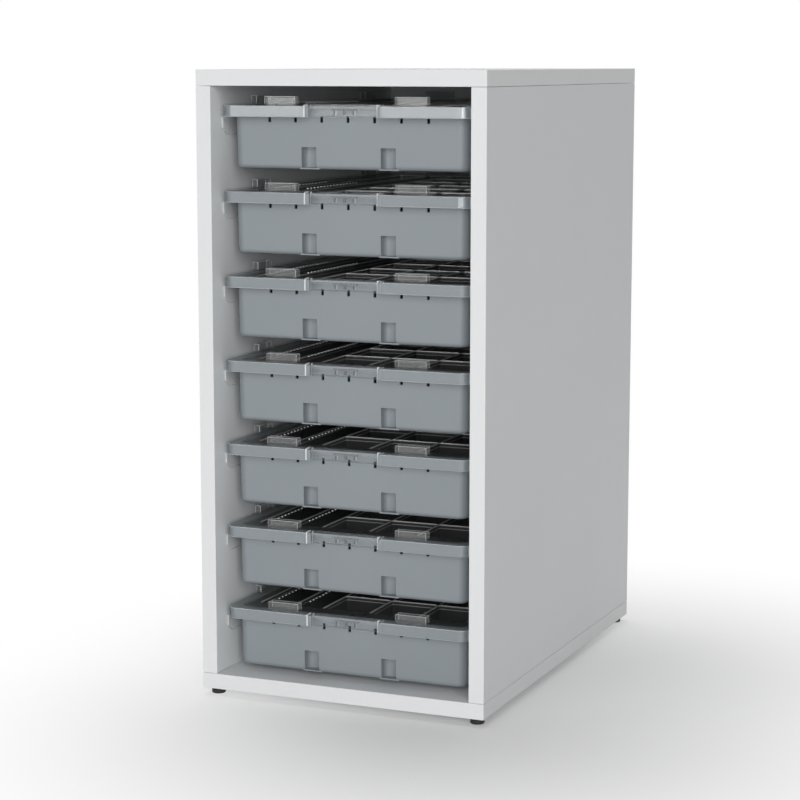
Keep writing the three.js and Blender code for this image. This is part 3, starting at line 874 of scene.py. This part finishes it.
def pocket(x, y):
    """The hollow of a pocket: a slanted step under its mouth, which flares out to narrow divider ridges."""
    step = INSERT_TOP - POCKET_STEP_DROP
    ridge = INSERT_TOP - RIDGE_RISE
    levels = [
        (POCKET_STEP, INSERT_BASE + INSERT_FLOOR),
        (POCKET_STEP, step - POCKET_STEP_RISE),
        (0.0, step),
        (0.0, ridge - MOUTH_RISE),
        (-MOUTH_FLARE, ridge),
        (-RIDGE_FLARE, INSERT_TOP),
        (-RIDGE_FLARE, INSERT_TOP + CUT_PAST),
    ]
    centre = ((x[0] + x[1]) / 2, (y[0] + y[1]) / 2)
    rings = []
    for inset, z in levels:
        outline = ring(x[1] - x[0] - 2 * inset, y[1] - y[0] - 2 * inset, POCKET_RADIUS, z, POCKET_STEPS)
        rings.append([(px + centre[0], py + centre[1], pz) for px, py, pz in outline])
    return loft("pocket", rings)


def insert():
    plate_inset = TRAY_WALL + INSERT_FIT
    plate_low = INSERT_TOP - INSERT_PLATE
    middle = (INSERT_FRONT + INSERT_REAR) / 2
    length = INSERT_REAR - INSERT_FRONT
    piece = loft(
        "insert",
        [inset_ring(BODY_WIDTH, BODY_LENGTH, BODY_RADIUS, plate_inset, z) for z in (plate_low, INSERT_TOP)],
    )
    levels = [ring(2 * INSERT_HALF, length, BLOCK_RADIUS, z) for z in (INSERT_BASE, plate_low + WELD)]
    body = loft("body", [[(x, y + middle, z) for x, y, z in level] for level in levels])
    combined(piece, [body], "UNION")
    combined(piece, [pocket(x, y) for x, y in insert_pockets()], "DIFFERENCE")
    finished(piece, black_plastic, ridge_and_step_highlight)
    # The slanted ridge and step faces get the painted highlight.
    painted(piece, EDGE, lambda middle, normal: HARDLY < normal.z < FULLY)
    return shaded(piece, INSERT_SHARP)


# Runner, in the frame of the cabinet across and along it and of its tray in height.
def runner(side):
    inside = WALL_FACE - WEB
    web_span = sorted((side * inside, side * WALL_FACE))
    ledge_span = sorted((side * LEDGE_INSIDE, side * (inside + WELD)))
    outline = [
        (RUNNER_FRONT, RUNNER_BOTTOM + CHAMFER_RISE),
        (RUNNER_FRONT + CHAMFER_RUN, RUNNER_BOTTOM),
        (RUNNER_REAR, RUNNER_BOTTOM),
        (RUNNER_REAR, RUNNER_TOP),
        (RUNNER_FRONT, RUNNER_TOP),
    ]
    piece = prism("runner", outline, *web_span)
    ledge = block("ledge", ledge_span, (RUNNER_FRONT, RUNNER_REAR), (RUNNER_TOP - LEDGE, RUNNER_TOP))
    finished(combined(piece, [ledge], "UNION"), milky_plastic, runner_front_highlight)
    slant_top = RUNNER_BOTTOM + CHAMFER_RISE
    # The front face and the front underside get the painted highlight.
    painted(piece, EDGE, lambda middle, normal: normal.y < -MOSTLY and abs(middle.x) > inside)
    painted(piece, EDGE, lambda middle, normal: normal.z < -NEARLY and middle.z < slant_top)
    return softened(piece, RUNNER_EDGE)


# Cabinet.
def panel(node):
    """A faced board with a strip of edging round its narrow sides and slightly rounded corners."""
    low, high = (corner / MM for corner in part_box(node))
    size = high - low
    thin = min(range(3), key=lambda axis: size[axis])
    piece = block(f"{node}_board", *zip(low, high))
    cuts = bmesh.new()
    cuts.from_mesh(piece.data)
    for axis in range(3):
        if axis == thin:
            continue
        normal = Vector([float(k == axis) for k in range(3)])
        for place in (low[axis] + EDGING, high[axis] - EDGING):
            geometry = [*cuts.verts, *cuts.edges, *cuts.faces]
            bmesh.ops.bisect_plane(cuts, geom=geometry, plane_co=normal * place * MM, plane_no=normal)
    cuts.to_mesh(piece.data)
    cuts.free()
    finished(piece, board, edging)

    def on_edging(middle, normal):
        inside = (low[k] + EDGING < middle[k] < high[k] - EDGING for k in range(3) if k != thin)
        return abs(normal[thin]) < MOSTLY or not all(inside)

    return softened(painted(piece, EDGE, on_edging), BOARD_EDGE, BOARD_EDGE_STEPS)


def foot(node):
    """A turned glide with a groove round it and a spigot on top."""
    low, high = (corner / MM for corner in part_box(node))
    centre = ((low.x + high.x) / 2, (low.y + high.y) / 2)
    radius = (high.x - low.x) / 2
    profile = [(radius - inset, height) for inset, height in GLIDE_OUTLINE]
    profile += [
        (SPIGOT_RADIUS, GLIDE_SEAT),
        (SPIGOT_RADIUS, high.z - GLIDE_CHAMFER),
        (SPIGOT_RADIUS - GLIDE_CHAMFER, high.z),
    ]
    piece = finished(lathe(f"{node}_glide", profile, centre), foot_plastic)
    return softened(piece, GLIDE_EDGE, angle=GLIDE_SHARP)


for node in ("top_panel", "bottom_panel", "left_side_panel", "right_side_panel", "back_panel"):
    dressed(panel(node), "cabinet", node)
for end in ("front", "rear"):
    for side in SIDES:
        node = f"foot_{end}_{side}"
        dressed(foot(node), "cabinet", node)
for name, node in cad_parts.items():
    if name.startswith("dowel"):
        node.data.materials.clear()
        finished(node, beech)
for side_name, side in SIDES.items():
    bays = {number: (0.0, 0.0, base) for number, base in TRAY_BASE.items()}
    for number, piece in copies(runner(side), f"{side_name}_runner_rail", bays):
        dressed(piece, "cabinet", f"{side_name}_runner_{number}")
for number, piece in copies(tray(), "tray_shell", tray_places):
    dressed(piece, f"drawer_{number}", f"tray_{number}")
for number, piece in copies(insert(), "insert_moulding", tray_places):
    dressed(piece, f"drawer_{number}", f"insert_{number}")
for number, piece in copies(label_holder(), "label_holder_clip", tray_places):
    dressed(piece, f"drawer_{number}", f"label_holder_{number}")
for number, piece in copies(lid(), "lid_cover", tray_places):
    dressed(piece, f"cover_{number}", f"lid_{number}")


# Floor, light and camera.
def seen_directly(nodes, links):
    """1 for what the camera sees, also in gloss and through clear parts, and 0 for light on the object."""
    path = nodes.new("ShaderNodeLightPath")
    either = path.outputs["Is Camera Ray"]
    for name in ("Is Glossy Ray", "Is Transmission Ray"):
        larger = nodes.new("ShaderNodeMath")
        larger.operation = "MAXIMUM"
        links.new(either, larger.inputs[0])
        links.new(path.outputs[name], larger.inputs[1])
        either = larger.outputs[0]
    return either


def floor():
    low, high = -FLOOR_HALF, FLOOR_HALF
    corners = [(low, low, 0), (high, low, 0), (high, high, 0), (low, high, 0)]
    piece = new_object("floor", corners, [(0, 1, 2, 3)])
    material, nodes, links, shader = blank_material("pale_floor")
    shader.inputs["Base Color"].default_value = FLOOR_COLOUR
    shader.inputs["Roughness"].default_value = FLOOR_ROUGH
    shader.inputs["Specular IOR Level"].default_value = 0.0
    place = nodes.new("ShaderNodeNewGeometry").outputs["Position"]
    for operation, by in (
        ("SUBTRACT", SHADE_MIDDLE),
        ("ABSOLUTE", (0, 0, 0)),
        ("SUBTRACT", SHADE_HALF),
        ("MAXIMUM", (0, 0, 0)),
    ):
        step = nodes.new("ShaderNodeVectorMath")
        step.operation = operation
        step.inputs[1].default_value = by
        links.new(place, step.inputs[0])
        place = step.outputs["Vector"]
    away = nodes.new("ShaderNodeVectorMath")
    away.operation = "LENGTH"
    links.new(place, away.inputs[0])
    fade = nodes.new("ShaderNodeMapRange")
    fade.interpolation_type = "SMOOTHSTEP"
    fade.inputs["From Max"].default_value = SHADE_FADE
    fade.inputs["To Min"].default_value = SHADE_WHITE
    links.new(away.outputs["Value"], fade.inputs["Value"])
    share = nodes.new("ShaderNodeMath")
    share.operation = "MULTIPLY"
    links.new(fade.outputs["Result"], share.inputs[0])
    links.new(seen_directly(nodes, links), share.inputs[1])
    white = nodes.new("ShaderNodeEmission")
    mix = nodes.new("ShaderNodeMixShader")
    links.new(share.outputs[0], mix.inputs["Fac"])
    links.new(shader.outputs["BSDF"], mix.inputs[1])
    links.new(white.outputs["Emission"], mix.inputs[2])
    links.new(mix.outputs["Shader"], nodes["Material Output"].inputs["Surface"])
    piece.data.materials.append(material)


def sky(strength):
    world = bpy.data.worlds.new("studio")
    bpy.context.scene.world = world
    world.use_nodes = True
    nodes, links = world.node_tree.nodes, world.node_tree.links
    level = nodes.new("ShaderNodeMapRange")
    level.inputs["To Min"].default_value = strength
    level.inputs["To Max"].default_value = 1.0
    links.new(seen_directly(nodes, links), level.inputs["Value"])
    background = nodes["Background"]
    background.inputs["Color"].default_value = (1, 1, 1, 1)
    links.new(level.outputs["Result"], background.inputs["Strength"])


def softbox(name, place, target, size, power):
    light = bpy.data.lights.new(name, "AREA")
    light.shape = "RECTANGLE"
    light.size, light.size_y = size
    light.energy = power
    lamp = bpy.data.objects.new(name, light)
    lamp.location = place
    lamp.rotation_euler = (Vector(target) - Vector(place)).to_track_quat("-Z", "Y").to_euler()
    lamp.visible_camera = False
    bpy.context.scene.collection.objects.link(lamp)


def camera():
    data = bpy.data.cameras.new("camera")
    data.sensor_width = CAMERA_SENSOR
    data.lens = CAMERA_LENS
    data.clip_end = CAMERA_REACH
    viewer = bpy.data.objects.new("camera", data)
    level = math.cos(CAMERA_TILT)
    back = Vector((math.sin(CAMERA_TURN) * level, -math.cos(CAMERA_TURN) * level, math.sin(CAMERA_TILT)))
    viewer.location = CAMERA_PLACE
    viewer.rotation_mode = "QUATERNION"
    viewer.rotation_quaternion = (-back).to_track_quat("-Z", "Y")
    bpy.context.scene.collection.objects.link(viewer)
    bpy.context.scene.camera = viewer


floor()
sky(SKY_LIGHT)
softbox("top_light", (-0.5, 0.8, 3.6), (0.0, 0.0, 0.2), size=(3.0, 3.0), power=62.0)
softbox("left_light", (-7.6, -18.3, 3.75), (0.0, 0.0, 3.75), size=(5.7, 7.4), power=385.0)
softbox("right_light", (9.3, -17.15, 6.5), (0.0, 0.0, 6.5), size=(11.0, 12.9), power=2180.0)
softbox("low_light", (0.3, -2.6, 0.6), (0.0, 0.0, 0.05), size=(2.0, 0.5), power=10.0)
camera()
bpy.context.scene.view_settings.view_transform = "Standard"
